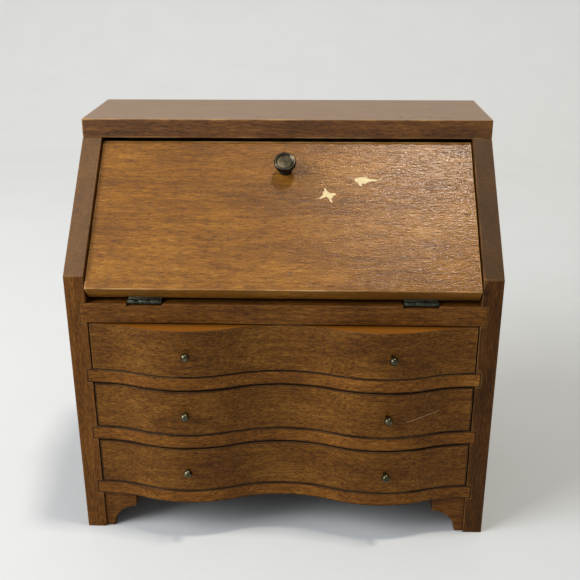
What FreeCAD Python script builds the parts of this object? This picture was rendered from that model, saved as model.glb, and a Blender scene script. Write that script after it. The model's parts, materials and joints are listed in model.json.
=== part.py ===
import FreeCAD, Part
import math
import os

import Sketcher

# A doll's house slant-front desk: two side panels, a top board, a hinged fall lid over a small
# writing compartment, and three oxbow-fronted drawers. X runs to the right, Y to the back and Z up.
# The origin is under the middle of the whole object, on the surface it stands on.

doc = FreeCAD.newDocument("SlantFrontDesk")
vector = FreeCAD.Vector

# Driving sizes, in mm and degrees.

sizeRows = [
    ("width", 112.0, "over the two side panels"),
    ("depth", 63.1, "front edge of the side panels to the back"),
    ("sideThickness", 5.2, "side panel"),
    ("topThickness", 5.2, "top board"),
    ("slantAngle", 46.6, "slope of the lid, from the vertical"),
    ("slantRise", 29.2, "height of the sloping part of the side panels"),
    ("deskThickness", 5.4, "desk board"),
    ("shelfThickness", 3.95, "drawer shelf"),
    ("drawerOpening", 13.5, "clear height between two shelves"),
    ("footHeight", 11.4, "floor to the underside of the base shelf"),
    ("shelfHousing", 1.4, "depth of a shelf's housing in the side panel"),
    ("deskHousing", 1.7, "depth of the desk board's housing"),
    ("backThickness", 2.0, "back panel"),
    ("backRebate", 2.6, "width of the side panels' rebate for the back panel"),
    ("footLength", 11.0, "side panel's foot, before and behind its arch"),
    ("archRise", 6.0, "height of the side panel's arch"),
    ("crestReach", 26.5, "middle of the front to the crest of a bulge"),
    ("crestProud", 4.3, "crest of a bulge, ahead of the side panels"),
    ("waistSet", 0.5, "waist between the bulges, behind the side panels"),
    ("bracketReach", 9.0, "foot bracket, along the base shelf"),
    ("bracketTip", 2.4, "foot bracket's width at the floor"),
    ("bracketThickness", 3.2, "foot bracket"),
    ("bracketSet", 0.6, "foot bracket, behind the side panels' front"),
    ("lidThickness", 5.0, "lid"),
    ("lidRecess", 1.2, "lid's face, behind the side panels' slope"),
    ("lidSideGap", 0.3, "lid to a side panel"),
    ("lidTopGap", 1.05, "lid's top corner, below the top board"),
    ("openClearance", 0.15, "open lid's end to the desk board's front edge"),
    ("stopThickness", 2.6, "lid stop"),
    ("stopWidth", 3.2, "lid stop, along the slope"),
    ("stopDrop", 2.4, "lid's top edge to the lid stop"),
    ("stopGap", 0.1, "closed lid to its stop"),
    ("hingeReach", 35.6, "middle of the front to the middle of a hinge"),
    ("leafLength", 8.8, "hinge leaf, along its pin"),
    ("leafWidth", 4.4, "hinge leaf, from its pin"),
    ("leafThickness", 0.35, "hinge leaf"),
    ("barrelRadius", 0.6, "hinge knuckle"),
    ("pinRadius", 0.3, "hinge pin"),
    ("pinClearance", 0.05, "pin in the lid's knuckle"),
    ("pinRise", 0.26, "hinge pin's axis, above the desk board"),
    ("pinBack", 1.0979, "hinge pin's axis, behind the side panels' front"),
    ("pinSet", 0.2579, "hinge pin's axis, ahead of the lid's inner face"),
    ("middleKnuckle", 3.0, "length of the lid's knuckle"),
    ("knuckleGap", 0.06, "between knuckles, and leaf to knuckle"),
    ("mortiseGap", 0.2, "around a leaf in its mortise"),
    ("barrelRelief", 0.65, "depth of the desk board's notch under the knuckles"),
    ("nailRadius", 0.3, "shank of a nail"),
    ("nailHead", 0.6, "radius of a nail's head"),
    ("nailHeadHeight", 0.3, "countersunk part of a nail"),
    ("hingeNail", 3.2, "length of a hinge nail"),
    ("hingeNailReach", 2.9, "middle of a leaf to its nail, along the pin"),
    ("hingeNailSet", 2.7, "hinge pin to the nail, across the leaf"),
    ("brad", 5.0, "length of a back panel brad"),
    ("knobDrop", 9.0, "lid's top edge to the middle of its knob"),
    ("lidKnobRadius", 2.95, "lid knob's head"),
    ("lidKnobNeck", 1.35, "radius of the lid knob's neck"),
    ("lidKnobCollar", 1.9, "radius of the lid knob's foot"),
    ("lidKnobStand", 4.2, "lid knob's height off the lid"),
    ("lidKnobRim", 1.25, "thickness of the lid knob's head"),
    ("lidKnobCollarRise", 0.4, "height of the lid knob's foot"),
    ("lidKnobNeckStart", 0.9, "lid to the straight part of the knob's neck"),
    ("lidKnobNeckEnd", 2.1, "lid to where the neck widens into the head"),
    ("lidKnobEase", 0.2, "rounding of the rim, behind"),
    ("lidKnobRound", 0.45, "rounding of the rim, in front"),
    ("lidKnobDish", 0.25, "hollow in the lid knob's face"),
    ("lidKnobDishEdge", 2.2, "radius of the hollow's edge"),
    ("lidKnobDishFloor", 1.6, "radius of the hollow's floor"),
    ("screwRadius", 0.7, "shank of the lid knob's screw"),
    ("screwHead", 1.8, "radius of the screw's head"),
    ("screwHeadHeight", 0.7, "screw's head"),
    ("screwReach", 2.2, "screw's length inside the knob"),
    ("screwSlot", 0.4, "width of the screw's slot"),
    ("drawerSideGap", 0.35, "drawer front to a side panel"),
    ("drawerFootGap", 0.2, "drawer above its shelf"),
    ("drawerTopGap", 0.35, "drawer front to what is above it"),
    ("frontBack", 4.5, "back face of a drawer front, behind the side panels' front"),
    ("frontLap", 1.2, "depth of a drawer front's rebate for its sides"),
    ("drawerInset", 0.3, "drawer side, in from the end of its front"),
    ("drawerSide", 2.0, "drawer side"),
    ("drawerSideDrop", 0.8, "drawer side, below the top of its front"),
    ("drawerBackSet", 2.0, "drawer's back to the back panel"),
    ("drawerBottom", 1.3, "drawer bottom"),
    ("knobReach", 26.6, "middle of a pair of drawer knobs to either of them"),
    ("upperKnobShift", 1.8, "upper drawer's pair of knobs, right of the middle"),
    ("middleKnobShift", 1.0, "middle drawer's pair of knobs, right of the middle"),
    ("lowerKnobShift", 1.0, "lower drawer's pair of knobs, right of the middle"),
    ("knobStand", 2.7, "drawer knob's height off its front"),
    ("knobRadius", 1.15, "drawer knob's head"),
    ("knobNeck", 0.45, "radius of a drawer knob's shank"),
    ("knobReachIn", 4.5, "drawer knob's shank inside the front"),
    ("galleryDepth", 27.0, "pigeonholes, from the back panel"),
    ("galleryHeight", 14.5, "clear height of a pigeonhole"),
    ("galleryBoard", 1.6, "pigeonhole shelf and partitions"),
]
drawerNames = ["lower", "middle", "upper"]
shelfNames = ["base_shelf", "lower_shelf", "upper_shelf"]
partitionCount = 4
bradsPerSide = 3
bothSides = (("left", "-"), ("right", ""))

sizes = doc.addObject("Spreadsheet::Sheet", "Sizes")
for row, (name, size, note) in enumerate(sizeRows, start=1):
    sizes.set(f"A{row}", note)
    sizes.set(f"B{row}", str(size))
    sizes.setAlias(f"B{row}", name)
doc.recompute()

# Places worked out from those sizes.

# On the slope, "out" is measured square to the lid towards the inside of the desk, and "up" along
# the lid, both from the hinge axis.
placeRows = [
    ("halfWidth", "Sizes.width / 2"),
    ("halfInside", "halfWidth - Sizes.sideThickness"),
    ("halfShelf", "halfInside + Sizes.shelfHousing"),
    ("halfDesk", "halfInside + Sizes.deskHousing"),
    ("halfBack", "halfInside + Sizes.backRebate"),
    ("insideDepth", "Sizes.depth - Sizes.backThickness"),
    ("frontPlane", "-(Sizes.depth - Sizes.crestProud - Sizes.knobStand) / 2"),
    ("pitch", "Sizes.shelfThickness + Sizes.drawerOpening"),
    ("deskUnder", "Sizes.footHeight + 3 * pitch"),
    ("deskTop", "deskUnder + Sizes.deskThickness"),
    ("axisZ", "deskTop + Sizes.pinRise"),
    ("lean", "sin(Sizes.slantAngle)"),
    ("rise", "cos(Sizes.slantAngle)"),
    ("lidOuter", "Sizes.pinSet - Sizes.lidThickness"),
    ("breakHeight", "axisZ + (Sizes.lidRecess - lidOuter - rise * Sizes.pinBack) / lean"),
    ("caseHeight", "breakHeight + Sizes.slantRise"),
    ("topFront", "Sizes.slantRise * tan(Sizes.slantAngle)"),
    ("archHalf", "Sizes.depth / 2 - Sizes.footLength"),
    ("archRadius", "(archHalf * archHalf + Sizes.archRise * Sizes.archRise) / (2 * Sizes.archRise)"),
    ("lidEnd", "Sizes.pinBack + Sizes.openClearance"),
    ("lidTopZ", "caseHeight - Sizes.lidTopGap"),
    ("lidTopY", "(Sizes.lidRecess + lean * (lidTopZ - breakHeight)) / rise"),
    ("lidTop", "lean * (lidTopY - Sizes.pinBack) + rise * (lidTopZ - axisZ)"),
    ("halfLid", "halfInside - Sizes.lidSideGap"),
    ("halfLeaf", "Sizes.leafLength / 2"),
    ("halfMiddle", "Sizes.middleKnuckle / 2"),
    ("outerKnuckle", "halfLeaf - halfMiddle - Sizes.knuckleGap"),
    ("leafStart", "Sizes.barrelRadius + Sizes.knuckleGap"),
    ("halfFront", "halfInside - Sizes.drawerSideGap"),
    ("halfBox", "halfFront - Sizes.drawerInset - Sizes.drawerSide"),
    ("frontHeight", "Sizes.drawerOpening - Sizes.drawerFootGap - Sizes.drawerTopGap"),
    ("boxHeight", "frontHeight - Sizes.drawerSideDrop"),
    ("boxEnd", "insideDepth - Sizes.drawerBackSet"),
    ("galleryFront", "insideDepth - Sizes.galleryDepth"),
    ("bayWidth", f"(2 * halfInside - {partitionCount} * Sizes.galleryBoard) / {partitionCount + 1}"),
]
places = doc.addObject("Spreadsheet::Sheet", "Places")
for row, (name, formula) in enumerate(placeRows, start=1):
    places.set(f"A{row}", "=" + formula)
    places.setAlias(f"A{row}", name)
    doc.recompute()

# Small helpers.


def bind(item, settings):
    for target, expression in settings.items():
        item.setExpression(target, expression)


# Puts an object at a place given in the case's frame: y from the side panels' front, z from the floor.
# A turn is about X: the rotation first gets that axis, with any angle, and then its own angle.
def place(item, x, y, z, turn=None):
    if turn is not None:
        anyAngle = 45
        item.Placement = FreeCAD.Placement(vector(), FreeCAD.Rotation(vector(1, 0, 0), anyAngle))
        item.setExpression("Placement.Rotation.Angle", turn)
    bind(item, {"Placement.Base.x": x, "Placement.Base.y": f"Places.frontPlane + {y}",
                "Placement.Base.z": z})
    return item


# The same for a place on the slope, given by its distances out and up from the hinge axis.
def placeOnSlope(item, x, out, up, turn="-Sizes.slantAngle"):
    y = f"Sizes.pinBack + ({out}) * Places.rise + ({up}) * Places.lean"
    z = f"Places.axisZ - ({out}) * Places.lean + ({up}) * Places.rise"
    return place(item, x, y, z, turn)


def box(label, length, width, height):
    item = doc.addObject("Part::Box", label)
    bind(item, {"Length": length, "Width": width, "Height": height})
    return item


def cylinderAlongX(label, radius, height):
    item = doc.addObject("Part::Cylinder", label)
    item.Placement = FreeCAD.Placement(vector(), FreeCAD.Rotation(vector(0, 1, 0), 90))
    bind(item, {"Radius": radius, "Height": height})
    return item


def fuse(label, items):
    item = doc.addObject("Part::MultiFuse", label)
    item.Shapes = items
    return item


def group(label, items):
    item = doc.addObject("Part::Compound", label)
    item.Links = items
    return item


def cut(label, base, tool):
    item = doc.addObject("Part::Cut", label)
    item.Base = base
    item.Tool = tool
    return item


def mirrored(label, source):
    item = doc.addObject("Part::Mirroring", label)
    item.Source = source
    item.Normal = vector(1, 0, 0)
    return item


def newBody(label):
    return doc.addObject("PartDesign::Body", label)


def newSketch(body, role, name):
    sketch = body.newObject("Sketcher::SketchObject", name)
    plane = next(item for item in body.Origin.OriginFeatures if item.Role == role)
    sketch.AttachmentSupport = [(plane, "")]
    sketch.MapMode = "FlatFace"
    return sketch


def bindPoint(sketch, edge, end, x, y):
    for kind, expression in (("DistanceX", x), ("DistanceY", y)):
        start = 0.0 if expression == "0" else 1.0
        index = sketch.addConstraint(Sketcher.Constraint(kind, -1, 1, edge, end, start))
        if expression != "0":
            sketch.setExpression(f"Constraints[{index}]", expression)


# A closed outline through corners given as pairs of expressions. The solver moves it from a circle.
def addPolygon(sketch, corners):
    first = sketch.GeometryCount
    count = len(corners)
    ring = [vector(math.cos(2 * math.pi * i / count), math.sin(2 * math.pi * i / count), 0)
            for i in range(count)]
    for i in range(count):
        sketch.addGeometry(Part.LineSegment(ring[i], ring[(i + 1) % count]), False)
    for i in range(count):
        after = first + (i + 1) % count
        sketch.addConstraint(Sketcher.Constraint("Coincident", first + i, 2, after, 1))
    for i, (x, y) in enumerate(corners):
        bindPoint(sketch, first + i, 1, x, y)


def addRectangle(sketch, x0, y0, x1, y1):
    addPolygon(sketch, [(x0, y0), (x1, y0), (x1, y1), (x0, y1)])


def addCircle(sketch, x, y, radius):
    edge = sketch.addGeometry(Part.Circle(vector(1, 1, 0), vector(0, 0, 1), 1), False)
    bindPoint(sketch, edge, 3, x, y)
    index = sketch.addConstraint(Sketcher.Constraint("Radius", edge, 1.0))
    sketch.setExpression(f"Constraints[{index}]", radius)


# The oxbow edge, from left to right: end, crest, waist, crest, end, level at each of these, with
# two equal arcs between neighbours. Returns its first and last edge, each with its free end.
def addOxbow(sketch, halfName):
    half = places.get(halfName)
    reach, proud, waist = (sizes.get(name) for name in ("crestReach", "crestProud", "waistSet"))
    turns = [(-half, 0), (-reach, -proud), (0, waist), (reach, -proud), (half, 0)]
    crest = "-Sizes.crestProud"
    words = [(f"-Places.{halfName}", "0"), ("-Sizes.crestReach", crest), ("0", "Sizes.waistSet"),
             ("Sizes.crestReach", crest), (f"Places.{halfName}", "0")]
    arcs = []
    for (x0, y0), (x1, y1) in zip(turns, turns[1:]):
        run, climb = x1 - x0, y1 - y0
        radius = (run * run + climb * climb) / (4 * abs(climb))
        side = math.copysign(radius, climb)
        sweep = math.asin(run / 2 / radius)
        for centre, leftSweep, rightSweep, bowl in ((vector(x0, y0 + side, 0), 0, sweep, climb > 0),
                                                    (vector(x1, y1 - side, 0), -sweep, 0, climb < 0)):
            if bowl:
                start, stop = leftSweep - math.pi / 2, rightSweep - math.pi / 2
            else:
                start, stop = math.pi / 2 - rightSweep, math.pi / 2 - leftSweep
            circle = Part.Circle(centre, vector(0, 0, 1), radius)
            edge = sketch.addGeometry(Part.ArcOfCircle(circle, start, stop), False)
            arcs.append((edge, 1, 2) if bowl else (edge, 2, 1))
    for (before, _, beforeEnd), (after, afterEnd, _) in zip(arcs, arcs[1:]):
        sketch.addConstraint(Sketcher.Constraint("Tangent", before, beforeEnd, after, afterEnd))
    for i, (x, y) in enumerate(words):
        edge, left, right = arcs[min(2 * i, len(arcs) - 1)]
        end = left if 2 * i < len(arcs) else right
        bindPoint(sketch, edge, end, x, y)
        sketch.addConstraint(Sketcher.Constraint("Vertical", edge, 3, edge, end))
    for first, second in zip(arcs[::2], arcs[1::2]):
        sketch.addConstraint(Sketcher.Constraint("Equal", first[0], second[0]))
    return (arcs[0][0], arcs[0][1]), (arcs[-1][0], arcs[-1][2])


# Closes the oxbow edge into an outline through the corners behind it, from its right end round.
# The corners start at rough places in the same order, and the solver moves them.
def addOxbowOutline(sketch, halfName, corners):
    (leftEdge, leftEnd), (rightEdge, rightEnd) = addOxbow(sketch, halfName)
    half = places.get(halfName)
    roughDepth = 5
    stops = [vector(half, 0, 0)]
    stops += [vector(half - i, roughDepth + i, 0) for i in range(len(corners))]
    stops.append(vector(-half, 0, 0))
    lines = [sketch.addGeometry(Part.LineSegment(start, stop), False)
             for start, stop in zip(stops, stops[1:])]
    sketch.addConstraint(Sketcher.Constraint("Coincident", rightEdge, rightEnd, lines[0], 1))
    for line, after, (x, y) in zip(lines, lines[1:], corners):
        sketch.addConstraint(Sketcher.Constraint("Coincident", line, 2, after, 1))
        bindPoint(sketch, after, 1, x, y)
    sketch.addConstraint(Sketcher.Constraint("Coincident", lines[-1], 2, leftEdge, leftEnd))


def pad(body, sketch, length, backwards=False):
    feature = body.newObject("PartDesign::Pad", sketch.Name + "_pad")
    feature.Profile = sketch
    feature.Reversed = backwards
    feature.setExpression("Length", length)
    doc.recompute()
    return feature


# Cuts a pocket and makes sure that it took wood away, because one that points outwards cuts nothing.
def pocket(body, sketch, length=None, backwards=False):
    before = body.Shape.Volume
    leastCut = 1e-6
    feature = body.newObject("PartDesign::Pocket", sketch.Name + "_pocket")
    feature.Profile = sketch
    feature.Reversed = backwards
    if length is None:
        feature.Type = "ThroughAll"
    else:
        feature.setExpression("Length", length)
    doc.recompute()
    if body.Shape.Volume > before - leastCut:
        raise RuntimeError(f"{feature.Name} cuts nothing")
    return feature


# A turned piece: the outline is given as radius and height, and it turns about the body's own Z.
def turned(label, outline):
    body = newBody(label)
    sketch = newSketch(body, "XZ_Plane", label + "_profile")
    addPolygon(sketch, outline)
    feature = body.newObject("PartDesign::Revolution", label + "_turning")
    feature.Profile = sketch
    feature.ReferenceAxis = (sketch, ["V_Axis"])
    feature.Angle = 360
    return body


# A nail with a countersunk head: its head's face is at its own origin and its shank runs down -Z.
def nail(label, length):
    head = doc.addObject("Part::Cone", label + "_head")
    bind(head, {"Radius1": "Sizes.nailRadius", "Radius2": "Sizes.nailHead",
                "Height": "Sizes.nailHeadHeight", "Placement.Base.z": "-Sizes.nailHeadHeight"})
    shank = doc.addObject("Part::Cylinder", label + "_shank")
    bind(shank, {"Radius": "Sizes.nailRadius", "Height": f"{length} - Sizes.nailHeadHeight",
                 "Placement.Base.z": f"-{length}"})
    return fuse(label, [head, shank])


pieces = {}


def keep(item, label):
    item.Label = label
    pieces[label] = item
    return item


# Fasteners, cut from what they hold.

deskNails = []
lidNails = []
for hand, sign in bothSides:
    for spot, offset in (("outer", "+"), ("inner", "-")):
        x = f"{sign}(Sizes.hingeReach {offset} Sizes.hingeNailReach)"
        deskNail = nail(f"{hand}_{spot}_desk_nail", "Sizes.hingeNail")
        deskNails.append(place(deskNail, x, "Sizes.pinBack + Sizes.hingeNailSet", "Places.deskTop"))
        lidNail = nail(f"{hand}_{spot}_lid_nail", "Sizes.hingeNail")
        lidNails.append(placeOnSlope(lidNail, x, "Sizes.pinSet", "Sizes.hingeNailSet",
                                     "-90 - Sizes.slantAngle"))
deskNailGroup = keep(group("desk_nail_group", deskNails), "desk_leaf_nails")
lidNailGroup = keep(group("lid_nail_group", lidNails), "lid_leaf_nails")

brads = []
bradSpacing = f"(Places.caseHeight - Sizes.footHeight) / {bradsPerSide}"
for hand, sign in bothSides:
    for i in range(bradsPerSide):
        brad = nail(f"{hand}_brad_{i + 1}", "Sizes.brad")
        height = f"Sizes.footHeight + ({i} + 1 / 2) * {bradSpacing}"
        x = f"{sign}(Places.halfInside + Sizes.backRebate / 2)"
        brads.append(place(brad, x, "Sizes.depth", height, "-90"))
bradGroup = keep(group("brad_group", brads), "back_panel_brads")

# Side panels.

# The panel's inner face is its own X = 0 plane, and its wood lies on the -X side of it.
panel = newBody("side_blank")
outline = newSketch(panel, "YZ_Plane", "side_outline")
addPolygon(outline, [("0", "0"), ("Sizes.depth", "0"), ("Sizes.depth", "Places.caseHeight"),
                     ("Places.topFront", "Places.caseHeight"), ("0", "Places.breakHeight")])
pad(panel, outline, "Sizes.sideThickness", backwards=True)

arch = newSketch(panel, "YZ_Plane", "side_arch")
addCircle(arch, "Sizes.depth / 2", "Sizes.archRise - Places.archRadius", "Places.archRadius")
pocket(panel, arch)

shelfHousings = newSketch(panel, "YZ_Plane", "shelf_housings")
for level in range(len(shelfNames)):
    low = f"Sizes.footHeight + {level} * Places.pitch"
    addRectangle(shelfHousings, "0", low, "Places.insideDepth", f"{low} + Sizes.shelfThickness")
pocket(panel, shelfHousings, "Sizes.shelfHousing")

deskHousing = newSketch(panel, "YZ_Plane", "desk_housing")
addRectangle(deskHousing, "0", "Places.deskUnder", "Places.insideDepth", "Places.deskTop")
pocket(panel, deskHousing, "Sizes.deskHousing")

rebate = newSketch(panel, "YZ_Plane", "back_rebate")
addRectangle(rebate, "Places.insideDepth", "Sizes.footHeight", "Sizes.depth", "Places.caseHeight")
pocket(panel, rebate, "Sizes.backRebate")

place(panel, "-Places.halfInside", "0", "0")
keep(cut("left_side_cut", panel, bradGroup), "left_side")
keep(cut("right_side_cut", mirrored("right_side_blank", panel), bradGroup), "right_side")

# Top, back, shelves.

topBoard = box("top_blank", "Sizes.width", "Sizes.depth - Places.topFront", "Sizes.topThickness")
keep(place(topBoard, "-Places.halfWidth", "Places.topFront", "Places.caseHeight"), "top_board")

backBoard = box("back_blank", "2 * Places.halfBack", "Sizes.backThickness",
                "Places.caseHeight - Sizes.footHeight")
place(backBoard, "-Places.halfBack", "Places.insideDepth", "Sizes.footHeight")
keep(cut("back_cut", backBoard, bradGroup), "back_panel")

for level, name in enumerate(shelfNames):
    shelf = newBody(name + "_body")
    edge = newSketch(shelf, "XY_Plane", name + "_outline")
    addOxbowOutline(edge, "halfInside", [
        ("Places.halfShelf", "0"), ("Places.halfShelf", "Places.insideDepth"),
        ("-Places.halfShelf", "Places.insideDepth"), ("-Places.halfShelf", "0")])
    pad(shelf, edge, "Sizes.shelfThickness")
    place(shelf, "0", "0", f"Sizes.footHeight + {level} * Places.pitch")
    keep(shelf, name)

# The desk board's top is its own Z = 0 plane. Two notches in its front edge take the hinges.
desk = newBody("desk_blank")
deskOutline = newSketch(desk, "XY_Plane", "desk_outline")
addRectangle(deskOutline, "-Places.halfDesk", "0", "Places.halfDesk", "Places.insideDepth")
pad(desk, deskOutline, "Sizes.deskThickness", backwards=True)
notchHalf = "(Places.halfLeaf + Sizes.mortiseGap)"
for name, back, deep in (("leaf_mortise", "Sizes.pinBack + Sizes.leafWidth", "Sizes.leafThickness"),
                         ("barrel_notch", "Sizes.pinBack + Places.leafStart", "Sizes.barrelRelief")):
    notch = newSketch(desk, "XY_Plane", name)
    for _, sign in bothSides:
        middle = f"{sign}Sizes.hingeReach"
        addRectangle(notch, f"{middle} - {notchHalf}", "0", f"{middle} + {notchHalf}", back)
    pocket(desk, notch, deep)
place(desk, "0", "0", "Places.deskTop")
keep(cut("desk_cut", desk, deskNailGroup), "desk_board")

# Foot brackets.

bracket = newBody("bracket_body")
bracketOutline = newSketch(bracket, "XZ_Plane", "bracket_outline")
addRectangle(bracketOutline, "0", "0", "Sizes.bracketReach", "Sizes.footHeight")
pad(bracket, bracketOutline, "Sizes.bracketThickness", backwards=True)
bracketCurve = newSketch(bracket, "XZ_Plane", "bracket_curve")
addCircle(bracketCurve, "Sizes.bracketReach", "0", "Sizes.bracketReach - Sizes.bracketTip")
pocket(bracket, bracketCurve)
place(bracket, "-Places.halfInside", "Sizes.bracketSet", "0")
keep(bracket, "left_foot_bracket")
keep(mirrored("right_bracket_body", bracket), "right_foot_bracket")

# Pigeonholes and lid stop.

galleryShelf = box("gallery_board", "2 * Places.halfInside", "Sizes.galleryDepth", "Sizes.galleryBoard")
place(galleryShelf, "-Places.halfInside", "Places.galleryFront", "Places.deskTop + Sizes.galleryHeight")
keep(galleryShelf, "gallery_shelf")
for i in range(partitionCount):
    partition = box(f"partition_{i + 1}", "Sizes.galleryBoard", "Sizes.galleryDepth",
                    "Sizes.galleryHeight")
    x = f"-Places.halfInside + {i + 1} * Places.bayWidth + {i} * Sizes.galleryBoard"
    keep(place(partition, x, "Places.galleryFront", "Places.deskTop"), f"gallery_partition_{i + 1}")

lidStop = box("stop_strip", "2 * Places.halfInside", "Sizes.stopThickness", "Sizes.stopWidth")
placeOnSlope(lidStop, "-Places.halfInside", "Sizes.pinSet + Sizes.stopGap",
             "Places.lidTop - Sizes.stopDrop - Sizes.stopWidth")
keep(lidStop, "lid_stop")

# Lid.

# The screw's head lies on the lid's inner face, and its shank runs out through the lid.
knobUp = "Places.lidTop - Sizes.knobDrop"
screwShank = doc.addObject("Part::Cylinder", "screw_shank")
bind(screwShank, {"Radius": "Sizes.screwRadius", "Height": "Sizes.lidThickness + Sizes.screwReach"})
screwHead = doc.addObject("Part::Cylinder", "screw_head")
bind(screwHead, {"Radius": "Sizes.screwHead", "Height": "Sizes.screwHeadHeight",
                 "Placement.Base.z": "-Sizes.screwHeadHeight"})
screwBlank = fuse("screw_blank", [screwShank, screwHead])
slot = box("screw_slot", "2 * Sizes.screwHead", "Sizes.screwSlot", "Sizes.screwHeadHeight / 2")
bind(slot, {"Placement.Base.x": "-Sizes.screwHead", "Placement.Base.y": "-Sizes.screwSlot / 2",
            "Placement.Base.z": "-Sizes.screwHeadHeight"})
screw = cut("screw_cut", screwBlank, slot)
placeOnSlope(screw, "0", "Sizes.pinSet", knobUp, "90 - Sizes.slantAngle")
keep(screw, "lid_knob_screw")

rimFoot = "Sizes.lidKnobStand - Sizes.lidKnobRim"
lidKnob = turned("lid_knob_blank", [
    ("0", "0"), ("Sizes.lidKnobCollar", "0"), ("Sizes.lidKnobCollar", "Sizes.lidKnobCollarRise"),
    ("Sizes.lidKnobNeck", "Sizes.lidKnobNeckStart"), ("Sizes.lidKnobNeck", "Sizes.lidKnobNeckEnd"),
    ("Sizes.lidKnobRadius - Sizes.lidKnobEase", rimFoot),
    ("Sizes.lidKnobRadius", f"{rimFoot} + Sizes.lidKnobEase"),
    ("Sizes.lidKnobRadius", "Sizes.lidKnobStand - Sizes.lidKnobRound"),
    ("Sizes.lidKnobRadius - Sizes.lidKnobRound", "Sizes.lidKnobStand"),
    ("Sizes.lidKnobDishEdge", "Sizes.lidKnobStand"),
    ("Sizes.lidKnobDishFloor", "Sizes.lidKnobStand - Sizes.lidKnobDish"),
    ("0", "Sizes.lidKnobStand - Sizes.lidKnobDish")])
placeOnSlope(lidKnob, "0", "Places.lidOuter", knobUp, "90 - Sizes.slantAngle")
keep(cut("lid_knob_cut", lidKnob, screw), "lid_knob")

lidBlank = box("lid_blank", "2 * Places.halfLid", "Sizes.lidThickness", "Places.lidTop - Places.lidEnd")
placeOnSlope(lidBlank, "-Places.halfLid", "Places.lidOuter", "Places.lidEnd")
lidTools = [lidNailGroup, screw]
for hand, sign in bothSides:
    mortise = box(f"{hand}_lid_mortise", f"2 * {notchHalf}", "2 * Sizes.leafThickness",
                  "Sizes.leafWidth + Sizes.mortiseGap")
    placeOnSlope(mortise, f"{sign}Sizes.hingeReach - {notchHalf}",
                 "Sizes.pinSet - Sizes.leafThickness", "0")
    lidTools.append(mortise)
keep(cut("lid_cut", lidBlank, fuse("lid_tools", lidTools)), "lid")

# Hinges.

for hand, sign in bothSides:
    middle = f"{sign}Sizes.hingeReach"
    pin = cylinderAlongX(f"{hand}_pin_rod", "Sizes.pinRadius", "Sizes.leafLength")
    keep(place(pin, f"{middle} - Places.halfLeaf", "Sizes.pinBack", "Places.axisZ"),
         f"{hand}_hinge_pin")

    # The leaf let into the desk board, with a knuckle at each end of the barrel.
    plate = box(f"{hand}_desk_plate", "Sizes.leafLength", "Sizes.leafWidth - Places.leafStart",
                "Sizes.leafThickness")
    place(plate, f"{middle} - Places.halfLeaf", "Sizes.pinBack + Places.leafStart",
          "Places.deskTop - Sizes.leafThickness")
    deskLeaf = [plate]
    for end, start in (("a", "-Places.halfLeaf"), ("b", "Places.halfMiddle + Sizes.knuckleGap")):
        tab = box(f"{hand}_desk_tab_{end}", "Places.outerKnuckle", "Places.leafStart",
                  "Sizes.leafThickness")
        place(tab, f"{middle} + {start}", "Sizes.pinBack", "Places.deskTop - Sizes.leafThickness")
        knuckle = cylinderAlongX(f"{hand}_desk_knuckle_{end}", "Sizes.barrelRadius",
                                 "Places.outerKnuckle")
        place(knuckle, f"{middle} + {start}", "Sizes.pinBack", "Places.axisZ")
        deskLeaf += [tab, knuckle]
    holes = fuse(f"{hand}_desk_holes", [pin, deskNailGroup])
    keep(cut(f"{hand}_desk_leaf_cut", fuse(f"{hand}_desk_leaf_blank", deskLeaf), holes),
         f"{hand}_hinge_desk_leaf")

    # The leaf let into the lid, with the middle knuckle, which turns on the pin.
    lidPlate = box(f"{hand}_lid_plate", "Sizes.leafLength", "Sizes.leafThickness",
                   "Sizes.leafWidth - Places.leafStart")
    placeOnSlope(lidPlate, f"{middle} - Places.halfLeaf", "Sizes.pinSet - Sizes.leafThickness",
                 "Places.leafStart")
    lidTab = box(f"{hand}_lid_tab", "Sizes.middleKnuckle", "Sizes.leafThickness", "Places.leafStart")
    placeOnSlope(lidTab, f"{middle} - Places.halfMiddle", "Sizes.pinSet - Sizes.leafThickness", "0")
    lidKnuckle = cylinderAlongX(f"{hand}_lid_knuckle", "Sizes.barrelRadius", "Sizes.middleKnuckle")
    place(lidKnuckle, f"{middle} - Places.halfMiddle", "Sizes.pinBack", "Places.axisZ")
    bore = cylinderAlongX(f"{hand}_lid_bore", "Sizes.pinRadius + Sizes.pinClearance",
                          "Sizes.leafLength")
    place(bore, f"{middle} - Places.halfLeaf", "Sizes.pinBack", "Places.axisZ")
    lidHoles = fuse(f"{hand}_lid_holes", [bore, lidNailGroup])
    lidLeaf = fuse(f"{hand}_lid_leaf_blank", [lidPlate, lidTab, lidKnuckle])
    keep(cut(f"{hand}_lid_leaf_cut", lidLeaf, lidHoles), f"{hand}_hinge_lid_leaf")

# Drawers.

# A drawer knob's ball head, as points on its outline at these angles above its widest place.
ball = [(f"Sizes.knobRadius * cos({angle})",
         f"Sizes.knobStand - Sizes.knobRadius + Sizes.knobRadius * sin({angle})")
        for angle in (-50, -25, 0, 25, 50, 75)]

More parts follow.
